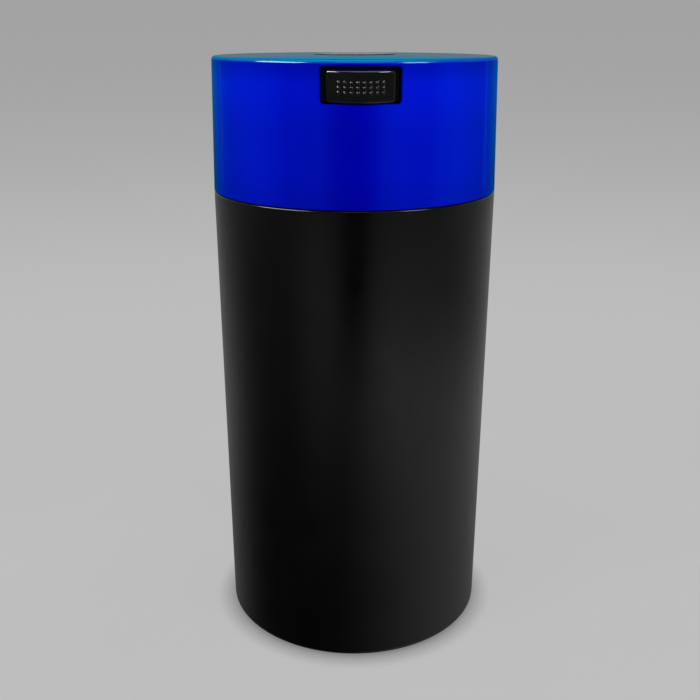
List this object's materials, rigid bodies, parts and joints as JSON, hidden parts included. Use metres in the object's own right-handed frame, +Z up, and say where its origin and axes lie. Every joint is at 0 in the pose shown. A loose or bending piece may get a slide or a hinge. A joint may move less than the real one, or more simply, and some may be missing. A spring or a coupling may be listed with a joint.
{
  "type": "storage canister",
  "caption": "Tall round canister with a deep telescoping cap, a lip seal on its neck and a thumb button in the cap's side that opens a small poppet valve.",
  "frame": {"origin": "centre of the foot ring, in the plane the canister stands on", "axes": "+Z up along the canister's axis, -Y towards the thumb button, +X to the right when the button faces the viewer"},
  "size_m": [0.127, 0.1279, 0.2675],
  "materials": {
    "body_black": "near-black, satin gloss with fine rub marks",
    "inner_black": "near-black, moulded satin",
    "cap_blue": "deep royal blue, high gloss",
    "badge_foil": "pale silver with a faint pink cast, satin",
    "plate_black": "moulded satin",
    "gasket_rubber": "matte",
    "seal_silicone": "milky silicone, satin",
    "button_black": "black, semi-gloss",
    "spring_steel": "bright drawn wire",
    "screw_steel": "bright zinc-plated steel",
    "poppet_plastic": "natural acetal"
  },
  "bodies": {
    "canister": {"body_shell": "body_black", "neck_sleeve": "inner_black"},
    "neck_ring": {"neck_seal": "seal_silicone"},
    "cap": {"cap_shell": "cap_blue", "housing_seal": "gasket_rubber", "button_housing": "inner_black", "top_badge": "badge_foil", "valve_plate": "plate_black", "plate_gasket": "gasket_rubber", "plate_screw_1": "screw_steel", "plate_screw_2": "screw_steel", "plate_screw_3": "screw_steel", "plate_screw_4": "screw_steel", "button_spring_left": "spring_steel", "button_spring_right": "spring_steel", "valve_spring": "spring_steel"},
    "button": {"press_button": "button_black"},
    "valve": {"valve_poppet": "poppet_plastic", "valve_seal": "seal_silicone", "lift_pin": "screw_steel"}
  },
  "joints": [
    {"name": "cap_turn", "type": "hinge", "parent": "canister", "child": "neck_ring", "pos_m": [0, 0, 0.2357], "axis": [0, 0, 1], "continuous": true},
    {"name": "cap_lift", "type": "slide", "parent": "neck_ring", "child": "cap", "axis": [0, 0, 1], "range_m": [0, 0.06]},
    {"name": "button_press", "type": "slide", "parent": "cap", "child": "button", "axis": [0, 1, 0], "range_m": [0, 0.004], "stiffness_N_per_m": 500, "springref_m": -0.003, "deforming": ["button_spring_left", "button_spring_right"]},
    {"name": "valve_lift", "type": "slide", "parent": "cap", "child": "valve", "axis": [0, 0, 1], "range_m": [0, 0.002], "stiffness_N_per_m": 200, "springref_m": -0.002, "deforming": ["valve_spring"]}
  ],
  "couplings": [
    {"joint": "valve_lift", "follows": "button_press", "ratio": 0.5}
  ]
}
